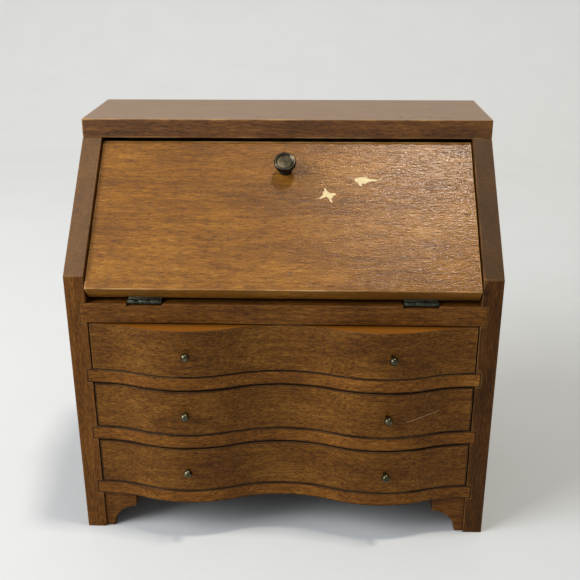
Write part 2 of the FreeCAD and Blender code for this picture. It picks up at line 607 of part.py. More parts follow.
for level, name in enumerate(drawerNames):
    floor = f"Sizes.footHeight + {level} * Places.pitch + Sizes.shelfThickness + Sizes.drawerFootGap"

    knobs = []
    for hand, sign in bothSides:
        knob = turned(f"{name}_{hand}_knob_body", [
            ("0", "-Sizes.knobReachIn"), ("Sizes.knobNeck", "-Sizes.knobReachIn"),
            ("Sizes.knobNeck", "Sizes.knobStand - 2 * Sizes.knobRadius"), *ball,
            ("0", "Sizes.knobStand")])
        place(knob, f"{sign}Sizes.knobReach + Sizes.{name}KnobShift", "-Sizes.crestProud",
              f"{floor} + Places.frontHeight / 2", "90")
        knobs.append(keep(knob, f"{name}_drawer_{hand}_knob"))

    front = newBody(name + "_front_blank")
    frontOutline = newSketch(front, "XY_Plane", name + "_front_outline")
    rebateY = "Sizes.frontBack - Sizes.frontLap"
    addOxbowOutline(frontOutline, "halfFront", [
        ("Places.halfFront", rebateY), ("Places.halfBox", rebateY), ("Places.halfBox", "Sizes.frontBack"),
        ("-Places.halfBox", "Sizes.frontBack"), ("-Places.halfBox", rebateY),
        ("-Places.halfFront", rebateY)])
    pad(front, frontOutline, "Places.frontHeight")
    place(front, "0", "0", floor)
    knobGroup = group(name + "_knob_group", knobs)
    keep(cut(name + "_front_cut", front, knobGroup), f"{name}_drawer_front")

    for hand, start in (("left", "-Places.halfBox - Sizes.drawerSide"), ("right", "Places.halfBox")):
        wall = box(f"{name}_{hand}_wall", "Sizes.drawerSide", f"Places.boxEnd - ({rebateY})",
                   "Places.boxHeight")
        keep(place(wall, start, rebateY, floor), f"{name}_drawer_{hand}_side")

    bottom = box(name + "_bottom_board", "2 * Places.halfBox", "Places.boxEnd - Sizes.frontBack",
                 "Sizes.drawerBottom")
    keep(place(bottom, "-Places.halfBox", "Sizes.frontBack", floor), f"{name}_drawer_bottom")

    rear = box(name + "_rear_wall", "2 * Places.halfBox", "Sizes.drawerSide",
               "Places.boxHeight - Sizes.drawerBottom")
    keep(place(rear, "-Places.halfBox", "Places.boxEnd - Sizes.drawerSide",
               f"{floor} + Sizes.drawerBottom"), f"{name}_drawer_back")

# Write.

doc.recompute()
for item in doc.Objects:
    if "Invalid" in item.State or "Error" in item.State:
        raise RuntimeError(f"{item.Name} failed: {item.State}")
os.makedirs("parts", exist_ok=True)
for label, item in pieces.items():
    if item.Shape.isNull() or not item.Shape.isValid() or not item.Shape.Solids:
        raise RuntimeError(f"{label} has no valid solid")
for label, item in pieces.items():
    item.Shape.exportStep(f"parts/{label}.step")
print(f"{len(pieces)} pieces written")
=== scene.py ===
import json
import math

import bmesh
import bpy
import numpy as np
from mathutils import Matrix, Vector


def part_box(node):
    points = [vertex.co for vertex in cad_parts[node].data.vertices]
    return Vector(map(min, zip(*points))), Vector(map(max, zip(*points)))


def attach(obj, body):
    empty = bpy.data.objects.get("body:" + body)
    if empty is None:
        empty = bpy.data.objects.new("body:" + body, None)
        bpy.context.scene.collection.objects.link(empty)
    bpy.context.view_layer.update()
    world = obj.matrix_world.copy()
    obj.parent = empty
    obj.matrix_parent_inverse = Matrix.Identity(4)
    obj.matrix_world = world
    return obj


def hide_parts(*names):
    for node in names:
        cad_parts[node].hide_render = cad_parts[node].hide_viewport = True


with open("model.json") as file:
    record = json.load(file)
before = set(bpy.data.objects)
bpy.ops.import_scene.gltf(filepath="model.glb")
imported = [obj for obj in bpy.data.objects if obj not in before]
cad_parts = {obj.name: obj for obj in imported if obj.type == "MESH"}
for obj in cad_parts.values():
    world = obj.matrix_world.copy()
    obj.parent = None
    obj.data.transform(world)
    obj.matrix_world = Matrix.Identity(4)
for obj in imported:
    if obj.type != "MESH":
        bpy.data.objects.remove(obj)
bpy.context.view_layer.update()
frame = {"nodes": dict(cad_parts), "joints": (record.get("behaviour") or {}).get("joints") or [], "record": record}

# A doll's house slant-front desk in stained and polished mahogany, with brass pins and hinges.
# Everything is in metres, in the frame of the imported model: X right, Y back, Z up.

mm = 0.001

# The lid's slope, worked out from its hinge, which opens it from the slope to level.
lidHinge = next(joint for joint in frame["joints"] if joint["name"] == "lid_hinge")
hingeAxis = Vector(lidHinge["pos_m"])
slope = math.radians(lidHinge["range_deg"][1] - 90)
slopeUp = Vector((0, math.sin(slope), math.cos(slope)))
slopeIn = Vector((0, math.cos(slope), -math.sin(slope)))  # square to the lid, into the desk
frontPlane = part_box("left_side")[0].y


def linear(hexColour):
    channels = [int(hexColour[i:i + 2], 16) / 255 for i in (1, 3, 5)]
    return [c / 12.92 if c <= 0.04045 else ((c + 0.055) / 1.055) ** 2.4 for c in channels] + [1.0]


def addNode(tree, kind, inputs=None, **settings):
    node = tree.nodes.new(kind)
    for name, value in settings.items():
        setattr(node, name, value)
    for key, value in (inputs or {}).items():
        if isinstance(value, bpy.types.NodeSocket):
            tree.links.new(value, node.inputs[key])
        else:
            node.inputs[key].default_value = value
    return node


def newMaterial(name):
    material = bpy.data.materials.new(name)
    material.use_nodes = True
    material.node_tree.nodes.clear()
    return material, material.node_tree


def ramp(tree, factor, stops):
    node = addNode(tree, "ShaderNodeValToRGB", {0: factor})
    band = node.color_ramp
    while len(band.elements) < len(stops):
        band.elements.new(0.5)
    for element, (position, colour) in zip(band.elements, stops):
        element.position = position
        element.color = linear(colour)
    return node.outputs["Color"]


def mixColour(tree, factor, under, over, kind="MIX"):
    node = addNode(tree, "ShaderNodeMix", data_type="RGBA", blend_type=kind)
    for key, value in ((0, factor), (6, under), (7, over)):
        if isinstance(value, bpy.types.NodeSocket):
            tree.links.new(value, node.inputs[key])
        else:
            node.inputs[key].default_value = linear(value) if isinstance(value, str) else value
    return node.outputs[2]


def calculate(tree, operation, first, second=0.0, third=0.0, clamp=False):
    node = addNode(tree, "ShaderNodeMath", {0: first, 1: second, 2: third},
                   operation=operation, use_clamp=clamp)
    return node.outputs[0]


def remap(tree, value, low, high, toLow=0.0, toHigh=1.0):
    node = addNode(tree, "ShaderNodeMapRange", {"Value": value, "From Min": low, "From Max": high,
                                                "To Min": toLow, "To Max": toHigh})
    return node.outputs["Result"]


# A noise whose blotches are about these lengths in millimetres along x, y and z of the given place.
def grainNoise(tree, place, lengths, detail=2.0, roughness=0.5, distortion=0.0):
    scale = [1 / (length * mm) for length in lengths]
    mapped = addNode(tree, "ShaderNodeMapping", {"Vector": place, "Scale": scale})
    noise = addNode(tree, "ShaderNodeTexNoise", {"Vector": mapped.outputs[0], "Scale": 1.0,
                                                 "Detail": detail, "Roughness": roughness,
                                                 "Distortion": distortion})
    return noise.outputs[0]


# A noise drawn out along the grain of a board: size is its blotches' length and width in mm.
def figure(tree, grain, size, detail, roughness, distortion=0.0):
    along, across = size
    return grainNoise(tree, grain, (along, across, across), detail, roughness, distortion)


# Marks are tapered strokes on a board's face: (x, y) to (x, y) and the widths at the two ends, all
# in mm, along the grain from the middle of the piece and across it from the hinge or from its front.
def strokeMask(tree, place, strokes, raggedness):
    crumb, blur = 0.45, 0.06 * mm  # size of the ragged bits, and how softly the mark ends
    ragged = grainNoise(tree, place, (crumb, crumb, crumb), detail=4, roughness=0.7)
    nearest = None
    for start, end, startWidth, endWidth in strokes:
        a = Vector((*start, 0)) * mm
        along = Vector((*end, 0)) * mm - a
        offset = addNode(tree, "ShaderNodeVectorMath", {0: place, 1: a},
                         operation="SUBTRACT").outputs[0]
        offset = addNode(tree, "ShaderNodeVectorMath", {0: offset, 1: (1, 1, 0)},
                         operation="MULTIPLY").outputs[0]
        share = addNode(tree, "ShaderNodeVectorMath", {0: offset, 1: along / along.length_squared},
                        operation="DOT_PRODUCT").outputs["Value"]
        share = calculate(tree, "ADD", share, 0.0, clamp=True)
        foot = addNode(tree, "ShaderNodeVectorMath", {0: along, "Scale": share},
                       operation="SCALE").outputs[0]
        gap = addNode(tree, "ShaderNodeVectorMath", {0: offset, 1: foot}, operation="DISTANCE")
        width = remap(tree, share, 0, 1, startWidth * mm / 2, endWidth * mm / 2)
        distance = calculate(tree, "SUBTRACT", gap.outputs["Value"], width)
        nearest = distance if nearest is None else calculate(tree, "MINIMUM", nearest, distance)
    edge = calculate(tree, "MULTIPLY_ADD", ragged, raggedness * mm, -raggedness * mm / 2)
    return remap(tree, calculate(tree, "ADD", nearest, edge), blur, -blur)


# Stained hardwood under worn shellac. Long streaks and short dark pores run along the grain, the
# stain is uneven in soft clouds and darker on end grain, arrises are rubbed pale, and the shellac
# has a fine orange peel that breaks up what it reflects.
def polishedWood(name, finish, marks=()):
    material, tree = newMaterial(name)
    grain = addNode(tree, "ShaderNodeAttribute", attribute_name="grainPlace").outputs["Vector"]
    board = addNode(tree, "ShaderNodeAttribute", attribute_name="boardPlace").outputs["Vector"]
    edge = addNode(tree, "ShaderNodeAttribute", attribute_name="edgeDistance").outputs["Fac"]
    endGrain = addNode(tree, "ShaderNodeAttribute", attribute_name="endGrain").outputs["Fac"]
    showSide = addNode(tree, "ShaderNodeAttribute", attribute_name="showSide").outputs["Fac"]

    streaks = figure(tree, grain, finish["streak"], detail=4, roughness=0.55, distortion=0.25)
    fine = figure(tree, grain, finish["fine"], detail=3, roughness=0.6)
    pores = figure(tree, grain, finish["pores"], detail=1, roughness=0.5)
    clouds = figure(tree, grain, finish["cloud"], detail=2, roughness=0.5)
    speckle = figure(tree, grain, finish["speck"], detail=2, roughness=0.6)

    cloudShare = 1 - finish["streakShare"] - finish["fineShare"]
    tone = calculate(tree, "MULTIPLY", streaks, finish["streakShare"])
    tone = calculate(tree, "MULTIPLY_ADD", fine, finish["fineShare"], tone)
    tone = calculate(tree, "MULTIPLY_ADD", clouds, cloudShare, tone)
    speckle = calculate(tree, "SUBTRACT", speckle, 0.5)
    tone = calculate(tree, "MULTIPLY_ADD", speckle, finish["speckle"], tone)
    tone = remap(tree, tone, 0.5 - finish["reach"], 0.5 + finish["reach"])
    colour = ramp(tree, tone, finish["colours"])
    poreMask = remap(tree, pores, finish["poreStart"], finish["poreFull"])
    colour = mixColour(tree, calculate(tree, "MULTIPLY", poreMask, finish["poreStrength"]),
                       colour, finish["poreColour"])
    endMask = remap(tree, endGrain, 0.35, 0.7)  # from faces well aslant of the grain to cut ends
    colour = mixColour(tree, endMask, colour, finish["endShade"], "MULTIPLY")
    normal = addNode(tree, "ShaderNodeNewGeometry").outputs["Normal"]
    upward = addNode(tree, "ShaderNodeSeparateXYZ", {0: normal}).outputs["Z"]
    # Faces that look up or down are mixed toward a colour: dust on some boards, painted light, shade or reflection
    # on others.
    for shade, start, full, share in finish["facingDustAndPaintedLight"]:
        colour = mixColour(tree, remap(tree, upward, start, full, 0, share), colour, shade)

    # Painted shade along the arrises, in a band as wide as the seam, standing in for the shadow in the gaps
    # between parts.
    if finish["seam"]:
        paintedSeamShade = remap(tree, edge, finish["seam"] * mm, 0.6 * finish["seam"] * mm,
                       0, finish["paintedSeamShadeShare"])
        colour = mixColour(tree, paintedSeamShade, colour, finish["paintedSeamShadeColour"])

    # Rubbed edges: the finish is gone in a ragged band along each arris, and in places it is not.
    rubbed = figure(tree, grain, finish["rub"], detail=4, roughness=0.65)
    kept = figure(tree, grain, finish["kept"], detail=2, roughness=0.5)
    band = calculate(tree, "MULTIPLY", rubbed, finish["wearWidth"] * mm)
    past = calculate(tree, "SUBTRACT", edge, band)
    worn = remap(tree, past, 0.1 * mm, -0.2 * mm, 0, finish["wear"])
    worn = calculate(tree, "MULTIPLY", worn, remap(tree, kept, 0.42, 0.58, 0.25, 1.0))
    colour = mixColour(tree, worn, colour, finish["wornColour"])

    # Handling dirt and dust that dull the shellac.
    haze = figure(tree, grain, finish["hazePatch"], detail=4, roughness=0.6)
    haze = remap(tree, haze, 0.35, 0.7, finish["haze"] * 0.4, finish["haze"])
    colour = mixColour(tree, haze, colour, finish["hazeColour"])
    bare = worn
    for strokes, shade, strength, raggedness in marks:
        mask = calculate(tree, "MULTIPLY", strokeMask(tree, board, strokes, raggedness), strength)
        mask = calculate(tree, "MULTIPLY", mask, remap(tree, showSide, 0.3, 0.5))
        colour = mixColour(tree, mask, colour, shade)
        bare = calculate(tree, "MAXIMUM", bare, mask)

    peel = grainNoise(tree, grain, finish["peel"], 2, 0.5)
    relief = calculate(tree, "MULTIPLY_ADD", poreMask, -0.6, peel)
    relief = calculate(tree, "MULTIPLY_ADD", fine, 0.5, relief)
    bump = addNode(tree, "ShaderNodeBump", {"Height": relief, "Strength": 1.0,
                                            "Distance": finish["peelHeight"] * mm})
    low, high = finish["roughness"]
    rough = calculate(tree, "MAXIMUM", remap(tree, haze, 0, finish["haze"], low, high),
                      calculate(tree, "MULTIPLY", bare, 0.7))
    shader = addNode(tree, "ShaderNodeBsdfPrincipled",
                     {"Base Color": colour, "Roughness": rough, "Normal": bump.outputs[0], "IOR": 1.5,
                      "Specular IOR Level": finish["specular"], "Coat Weight": finish["coat"],
                      "Coat Roughness": finish["coatRoughness"], "Coat Normal": bump.outputs[0]})
    addNode(tree, "ShaderNodeOutputMaterial", {0: shader.outputs[0]})
    return material


# French-polished mahogany, the one board that was rubbed to a gloss: warm, with a broken sheen.
lidFinish = {
    "colours": [(0.0, "#482907"), (0.35, "#69400D"), (0.65, "#815212"), (1.0, "#9E6E28")],
    "streak": (14, 1.2), "fine": (3.0, 0.36), "pores": (2.2, 0.3),  # mm along and across the grain
    "cloud": (20, 9), "speck": (0.5, 0.4), "rub": (3.0, 0.8), "kept": (11, 7), "hazePatch": (9, 6),
    "streakShare": 0.3, "fineShare": 0.4, "speckle": 0.22, "reach": 0.19,
    "poreStart": 0.42, "poreFull": 0.33, "poreStrength": 0.5, "poreColour": "#3A200A",
    "endShade": "#CFC4B8", "facingDustAndPaintedLight": [], "seam": 0.0, "paintedSeamShadeShare": 0.88, "paintedSeamShadeColour": "#1A0C02",
    "wearWidth": 0.6, "wear": 0.75, "wornColour": "#B88F58",
    "haze": 0.08, "hazeColour": "#74552E", "peel": (0.5, 0.3, 0.3), "peelHeight": 0.062,
    "roughness": (0.45, 0.58), "specular": 0.15, "coat": 0.38, "coatRoughness": 0.17,
}
# The same wood under thin shellac gone dull: darker and browner, with hardly any sheen.
caseFinish = {
    **lidFinish,
    "colours": [(0.0, "#361E06"), (0.35, "#52300E"), (0.65, "#683F14"), (1.0, "#835824")],
    "fine": (2.4, 0.36), "poreColour": "#261404", "endShade": "#F2ECE6", "fineShare": 0.45,
    "reach": 0.17, "poreStrength": 0.6,
    "wear": 0.35, "wearWidth": 0.5, "wornColour": "#8C663A",
    "haze": 0.05, "hazeColour": "#5E4026", "peelHeight": 0.025,
    "roughness": (0.5, 0.65), "specular": 0.08, "coat": 0.03, "coatRoughness": 0.35,
}
# Side panels. The faces that look up are greyed: partly dust, partly a painted sheen of the light they catch. Each
# facing entry is a colour, how far up or down a face looks where it starts and where it is full, and its share.
sideFinish = {**caseFinish, "facingDustAndPaintedLight": [("#6A5944", 0.45, 0.7, 0.42)]}
# The right side, coloured darker than the left: nearly chocolate brown.
rightSideFinish = {
    **caseFinish,
    "colours": [(0.0, "#231204"), (0.35, "#381F07"), (0.65, "#482A0B"), (1.0, "#5E3B17")],
    "facingDustAndPaintedLight": [("#4C3C2A", 0.45, 0.7, 0.42)],
}
# Shelf edges are handled with the drawers: a little redder, with painted shade along their seams and on the faces
# that look up and down into the gaps.
shelfFinish = {
    **caseFinish,
    "colours": [(0.0, "#3E2308"), (0.35, "#5E3810"), (0.65, "#754816"), (1.0, "#92642A")],
    "facingDustAndPaintedLight": [("#241406", 0.15, 0.5, 0.85), ("#1A0E04", -0.15, -0.5, 0.85)], "seam": 0.46,
}
# The top's faces that look up are paler and greyer: partly dust, partly a painted reflection of the pale room.
topFinish = {
    **caseFinish,
    "facingDustAndPaintedLight": [("#826E5A", 0.5, 0.9, 0.8)], "wear": 0.8, "wornColour": "#AA804C", "wearWidth": 0.7,
    "specular": 0.25, "coat": 0.12,
}
# Drawer fronts are cut from plainer stock with a short, busy figure, with painted shade along their seams and on
# their top and under faces in the gaps.
drawerFinish = {
    **caseFinish,
    "colours": [(0.0, "#371F07"), (0.35, "#55320E"), (0.65, "#6A4314"), (1.0, "#875C26")],
    "fine": (1.6, 0.36), "pores": (1.4, 0.3), "wear": 0.3, "seam": 0.44,
    "facingDustAndPaintedLight": [("#402408", 0.15, 0.5, 0.8), ("#1A0E04", -0.15, -0.5, 0.85)],
}
# The upper front's top is painted a lit orange where it shows under the desk board, and its underside has painted
# shade.
upperDrawerFinish = {
    **drawerFinish, "facingDustAndPaintedLight": [("#74440C", 0.5, 0.9, 0.8), ("#1A0E04", -0.15, -0.5, 0.85)],
    "seam": 0.12,
}
# Bare limewood of the drawer boxes and pigeonholes: pale, dry and only faintly figured.
innerFinish = {
    **lidFinish,
    "colours": [(0.0, "#8A6A46"), (0.35, "#A5835A"), (0.65, "#B8966A"), (1.0, "#CDB088")],
    "poreStrength": 0.25, "poreColour": "#7A5C3C", "wear": 0.35, "wornColour": "#D8C09A",
    "haze": 0.15, "hazeColour": "#8F7B63", "peelHeight": 0.02,
    "roughness": (0.62, 0.8), "specular": 0.25, "coat": 0.0, "endShade": "#D8CCBC",
}

# Chips where the finish has flaked off the lid, down to a pale filler, and small dull spots.
lidChips = [
    ((10.9, 30.0), (12.1, 29.1), 1.5, 1.5), ((11.1, 30.1), (10.7, 31.4), 0.9, 0.3),
    ((12.0, 29.4), (13.2, 29.7), 1.3, 0.7), ((11.8, 28.9), (12.5, 27.4), 0.8, 0.45),
    ((10.7, 29.4), (9.5, 28.4), 1.0, 0.35), ((9.5, 28.5), (8.6, 28.4), 0.3, 0.15),
    ((19.3, 34.2), (21.3, 34.1), 1.3, 2.1), ((21.3, 34.1), (23.0, 34.1), 1.9, 0.7),
    ((20.0, 33.8), (20.2, 32.7), 1.5, 0.7), ((22.9, 34.1), (24.9, 34.1), 0.7, 0.25),
    ((24.9, 34.2), (25.9, 34.6), 0.3, 0.15),
]
lidSpots = [
    ((35.0, 7.6), (35.3, 7.4), 0.7, 0.5), ((40.0, 7.7), (40.4, 7.9), 0.6, 0.5),
    ((38.6, 10.6), (38.9, 10.7), 0.5, 0.6), ((14.6, 30.6), (15.2, 31.0), 0.3, 0.2),
]
# Short dark scratches near the front of the top, and one pale scratch on the middle drawer.
topScratches = [
    ((31.0, 2.4), (32.2, 5.4), 0.35, 0.2), ((34.2, 2.0), (35.4, 4.6), 0.3, 0.25),
    ((39.8, 2.2), (38.8, 5.6), 0.35, 0.2), ((42.0, 2.0), (43.2, 4.4), 0.3, 0.2),
    ((44.4, 2.0), (44.0, 4.0), 0.25, 0.2), ((-8.0, 2.2), (-7.6, 4.6), 0.25, 0.15),
    ((-2.5, 2.0), (-2.3, 4.4), 0.25, 0.15),
]
drawerScratch = [((33.0, 4.6), (41.5, 6.8), 0.25, 0.15)]

lidMahogany = polishedWood("lid_mahogany", lidFinish,
                           [(lidChips, "#C9B684", 0.95, 0.7), (lidSpots, "#A08668", 0.5, 0.3)])
caseMahogany = polishedWood("case_mahogany", caseFinish)
sideMahogany = polishedWood("side_mahogany", sideFinish)
rightSideMahogany = polishedWood("darker_side_mahogany", rightSideFinish)
topMahogany = polishedWood("top_mahogany", topFinish, [(topScratches, "#33241A", 0.75, 0.2)])
shelfMahogany = polishedWood("shelf_mahogany", shelfFinish)
drawerMahogany = polishedWood("drawer_front_mahogany", drawerFinish)
upperDrawerMahogany = polishedWood("upper_drawer_front_mahogany", upperDrawerFinish)
scratchedMahogany = polishedWood("scratched_drawer_front_mahogany", drawerFinish,
                                 [(drawerScratch, "#A98A66", 0.6, 0.2)])
limewood = polishedWood("bare_limewood", innerFinish)
print("woods made")


# Old metal that has darkened unevenly: tarnish in soft clouds, and dark pits in its surface.
def agedMetal(name, metal):
    material, tree = newMaterial(name)
    place = addNode(tree, "ShaderNodeTexCoord").outputs["Object"]
    clouds = grainNoise(tree, place, (metal["clouds"],) * 3, 4, 0.6)
    specks = grainNoise(tree, place, (metal["specks"],) * 3, 2, 0.5)
    colour = ramp(tree, remap(tree, clouds, 0.32, 0.68), metal["colours"])
    pits = remap(tree, specks, 0.42, 0.34, 0, 0.7)
    colour = mixColour(tree, pits, colour, metal["pitColour"])
    bump = addNode(tree, "ShaderNodeBump", {"Height": specks, "Strength": 1.0,
                                            "Distance": metal["relief"] * mm})
    low, high = metal["roughness"]
    shader = addNode(tree, "ShaderNodeBsdfPrincipled",
                     {"Base Color": colour, "Metallic": 1.0,
                      "Roughness": remap(tree, clouds, 0.3, 0.7, low, high), "Normal": bump.outputs[0]})
    addNode(tree, "ShaderNodeOutputMaterial", {0: shader.outputs[0]})
    return material


# Turned bronze, browned by handling and kept smooth by it: dark with a soft gleam.
lidKnobBronze = agedMetal("patinated_bronze", {
    "colours": [(0.0, "#353026"), (0.5, "#433D30"), (1.0, "#544C3D")], "pitColour": "#29241B",
    "clouds": 1.6, "specks": 0.35, "relief": 0.004, "roughness": (0.24, 0.32)})
# The same bronze where no finger rubs it, nearly black and dull: partly patina, partly painted shade on the knob's
# neck and the outline of its rim.
lidKnobPatinaAndShade = agedMetal("dark_bronze_patina_and_shade", {
    "colours": [(0.0, "#1A1812"), (0.5, "#26231B"), (1.0, "#383428")], "pitColour": "#12100C",
    "clouds": 1.6, "specks": 0.35, "relief": 0.006, "roughness": (0.4, 0.55)})
# Drawn brass pins gone olive brown: small bright points on dark heads.
pinBrass = agedMetal("tarnished_brass", {
    "colours": [(0.0, "#322F22"), (0.5, "#514D3A"), (1.0, "#726C50")], "pitColour": "#242217",
    "clouds": 0.9, "specks": 0.25, "relief": 0.008, "roughness": (0.26, 0.42)})
# Rolled brass hinges, blackened: grey-green and dull.
hingeBrass = agedMetal("blackened_hinge_brass", {
    "colours": [(0.0, "#30322B"), (0.5, "#46483E"), (1.0, "#5E6054")], "pitColour": "#1C1D18",
    "clouds": 1.2, "specks": 0.3, "relief": 0.012, "roughness": (0.4, 0.6)})
# Drawn steel brads and a steel screw: grey and matt, with rust in the pits.
bradSteel = agedMetal("dull_steel", {
    "colours": [(0.0, "#4E4A44"), (0.5, "#77736B"), (1.0, "#9A968C")], "pitColour": "#5A3A22",
    "clouds": 0.8, "specks": 0.2, "relief": 0.01, "roughness": (0.35, 0.55)})
print("metals made")


def newPiece(name, mesh):
    piece = bpy.data.objects.new(name, mesh)
    bpy.context.scene.collection.objects.link(piece)
    return piece


# Turns a piece's modifiers into plain mesh.
def settle(piece):
    bpy.context.view_layer.update()
    graph = bpy.context.evaluated_depsgraph_get()
    mesh = bpy.data.meshes.new_from_object(piece.evaluated_get(graph))
    piece.modifiers.clear()
    piece.data = mesh


def mergedCopy(node):
    shape = bmesh.new()
    shape.from_mesh(frame["nodes"][node].data)
    bmesh.ops.remove_doubles(shape, verts=shape.verts, dist=0.001 * mm)
    bmesh.ops.dissolve_limit(shape, angle_limit=math.radians(1), verts=shape.verts, edges=shape.edges)
    bmesh.ops.recalc_face_normals(shape, faces=shape.faces)
    mesh = bpy.data.meshes.new(node)
    shape.to_mesh(mesh)
    shape.free()
    return mesh


arrisAngle = math.radians(25)  # a gentler edge is part of a curve
shortestArris = 0.4 * mm
gridSpacing = 3 * mm
gridMargins = (0.6 * mm, 1.4 * mm)
nextInLog = np.array([0.31, 0.17, 0.053])  # from one board's place in the log to the next one's


# Marks the outward edges for the Bevel modifier and returns them as pairs of points.
def markArrises(mesh, shortest):
    shape = bmesh.new()
    shape.from_mesh(mesh)
    weight = shape.edges.layers.float.new("bevel_weight_edge")
    arrises = []
    for edge in shape.edges:
        sharp = len(edge.link_faces) == 2 and edge.is_convex
        if sharp and edge.calc_face_angle() > arrisAngle and edge.calc_length() > shortest:
            edge[weight] = 1.0
            arrises.append([vert.co.copy() for vert in edge.verts])
    shape.to_mesh(mesh)
    shape.free()
    return np.array(arrises)


def distanceToEdges(points, edges):
    nearest = np.full(len(points), np.inf)
    for start, end in edges:
        along = end - start
        share = np.clip((points - start) @ along / (along @ along), 0, 1)
        gap = points - start - share[:, None] * along
        nearest = np.minimum(nearest, np.linalg.norm(gap, axis=1))
    return nearest


# Cuts the faces into a grid, closer at the edges, so that what is stored at the vertices follows
# the surface.
def gridCut(mesh):
    shape = bmesh.new()
    shape.from_mesh(mesh)
    corners = np.array([vert.co for vert in shape.verts])
    low, high = corners.min(0), corners.max(0)
    for axis in range(3):
        length = high[axis] - low[axis]
        steps = 2 * max(1, round(length / gridSpacing / 2))
        cuts = [length * step / steps for step in range(1, steps)]
        for margin in gridMargins:
            if length > 3 * margin:
                cuts += [margin, length - margin]
        normal = Vector([float(i == axis) for i in range(3)])
        for cut in cuts:
            everything = shape.verts[:] + shape.edges[:] + shape.faces[:]
            bmesh.ops.bisect_plane(shape, geom=everything, dist=0.002 * mm,
                                   plane_co=normal * (low[axis] + cut), plane_no=normal)
    shape.to_mesh(mesh)
    shape.free()


# Each board's own frame: along the grain, across it on the broad face, and through the board.
boardAxes = {
    "across": (Vector((1, 0, 0)), Vector((0, 1, 0)), Vector((0, 0, 1))),
    "face": (Vector((1, 0, 0)), Vector((0, 0, 1)), Vector((0, 1, 0))),
    "upright": (Vector((0, 0, 1)), Vector((0, 1, 0)), Vector((1, 0, 0))),
    "inward": (Vector((0, 1, 0)), Vector((0, 0, 1)), Vector((1, 0, 0))),
    "slope": (Vector((1, 0, 0)), slopeUp, slopeIn),
}
boardCount = 0


# Eases a board's arrises and stores where each point lies in its own length of timber.
def finishBoard(piece, axes, origin, easing):
    global boardCount
    arrises = markArrises(piece.data, shortestArris)
    bevel = piece.modifiers.new("eased_arrises", "BEVEL")
    bevel.limit_method = "WEIGHT"
    bevel.width = easing
    bevel.segments = 3
    bevel.use_clamp_overlap = True
    settle(piece)
    gridCut(piece.data)
    mesh = piece.data
    points = np.array([vert.co for vert in mesh.vertices])
    place = (points - np.array(origin)) @ np.array([list(axis) for axis in boardAxes[axes]]).T
    endOn = np.array([abs(face.normal.dot(boardAxes[axes][0])) for face in mesh.polygons])
    outward = boardAxes[axes][2] * (1 if axes == "across" else -1)  # up, or out through the front
    showing = np.array([face.normal.dot(outward) for face in mesh.polygons])
    for name, kind, domain, values in (
            ("boardPlace", "FLOAT_VECTOR", "POINT", place),
            ("grainPlace", "FLOAT_VECTOR", "POINT", place + nextInLog * boardCount),
            ("edgeDistance", "FLOAT", "POINT", distanceToEdges(points, arrises)),
            ("endGrain", "FLOAT", "FACE", endOn),
            ("showSide", "FLOAT", "FACE", showing)):
        attribute = mesh.attributes.new(name, kind, domain)
        attribute.data.foreach_set("vector" if kind == "FLOAT_VECTOR" else "value",
                                   values.astype(np.float32).ravel())
    mesh.shade_smooth()
    normals = piece.modifiers.new("flat_faces", "WEIGHTED_NORMAL")
    normals.keep_sharp = False
    normals.weight = 100
    settle(piece)
    boardCount += 1


# Gives a piece its material and its place among the bodies, and hides the nodes it replaces.
def dress(piece, material, body, slot, *nodes):
    piece.data.materials.clear()
    piece.data.materials.append(material)
    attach(piece, body)
    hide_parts(*nodes)


def bodyOf(node):
    bodies = frame["record"]["behaviour"]["bodies"]
    return next(body for body, nodes in bodies.items() if node in nodes)


boards = {
    "easing": {"case": 0.28 * mm, "lid": 0.3 * mm, "inside": 0.12 * mm},
    "case": {"left_side": "upright", "right_side": "upright", "top_board": "across",
             "desk_board": "across", "left_foot_bracket": "face", "right_foot_bracket": "face"},
    "inside": {"back_panel": "face", "gallery_shelf": "across", "gallery_partition_1": "inward",
               "gallery_partition_2": "inward", "gallery_partition_3": "inward",
               "gallery_partition_4": "inward", "lid_stop": "slope"},
    "drawerParts": {"left_side": "inward", "right_side": "inward", "back": "face", "bottom": "across"},
}
drawers = ("upper", "middle", "lower")


def makeBoard(node, axes, material, slot, easing, origin=None):
    piece = newPiece(node + "_wood", mergedCopy(node))
    low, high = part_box(node)
    finishBoard(piece, axes, origin or Vector(((low.x + high.x) / 2, low.y, low.z)), easing)
    dress(piece, material, bodyOf(node), slot, node)


for node, axes in boards["case"].items():
    wood = {"top_board": topMahogany, "left_side": sideMahogany,
            "right_side": rightSideMahogany}.get(node, caseMahogany)
    makeBoard(node, axes, wood, "case_wood", boards["easing"]["case"])
for node, axes in boards["inside"].items():
    makeBoard(node, axes, limewood, "inner_wood", boards["easing"]["inside"])
for drawer in drawers:
    for part, axes in boards["drawerParts"].items():
        node = f"{drawer}_drawer_{part}"
        makeBoard(node, axes, limewood, "inner_wood", boards["easing"]["inside"])
makeBoard("lid", "slope", lidMahogany, "lid_wood", boards["easing"]["lid"], hingeAxis)
print("boards made:", boardCount)


# A crest is crestReach from the middle, and the waist sits waistSet behind the front plane.
oxbow = {"crestReach": 26.5 * mm, "waistSet": 0.5 * mm, "lap": 1.2 * mm, "stepLength": 0.8 * mm,
         "easing": 0.3 * mm}


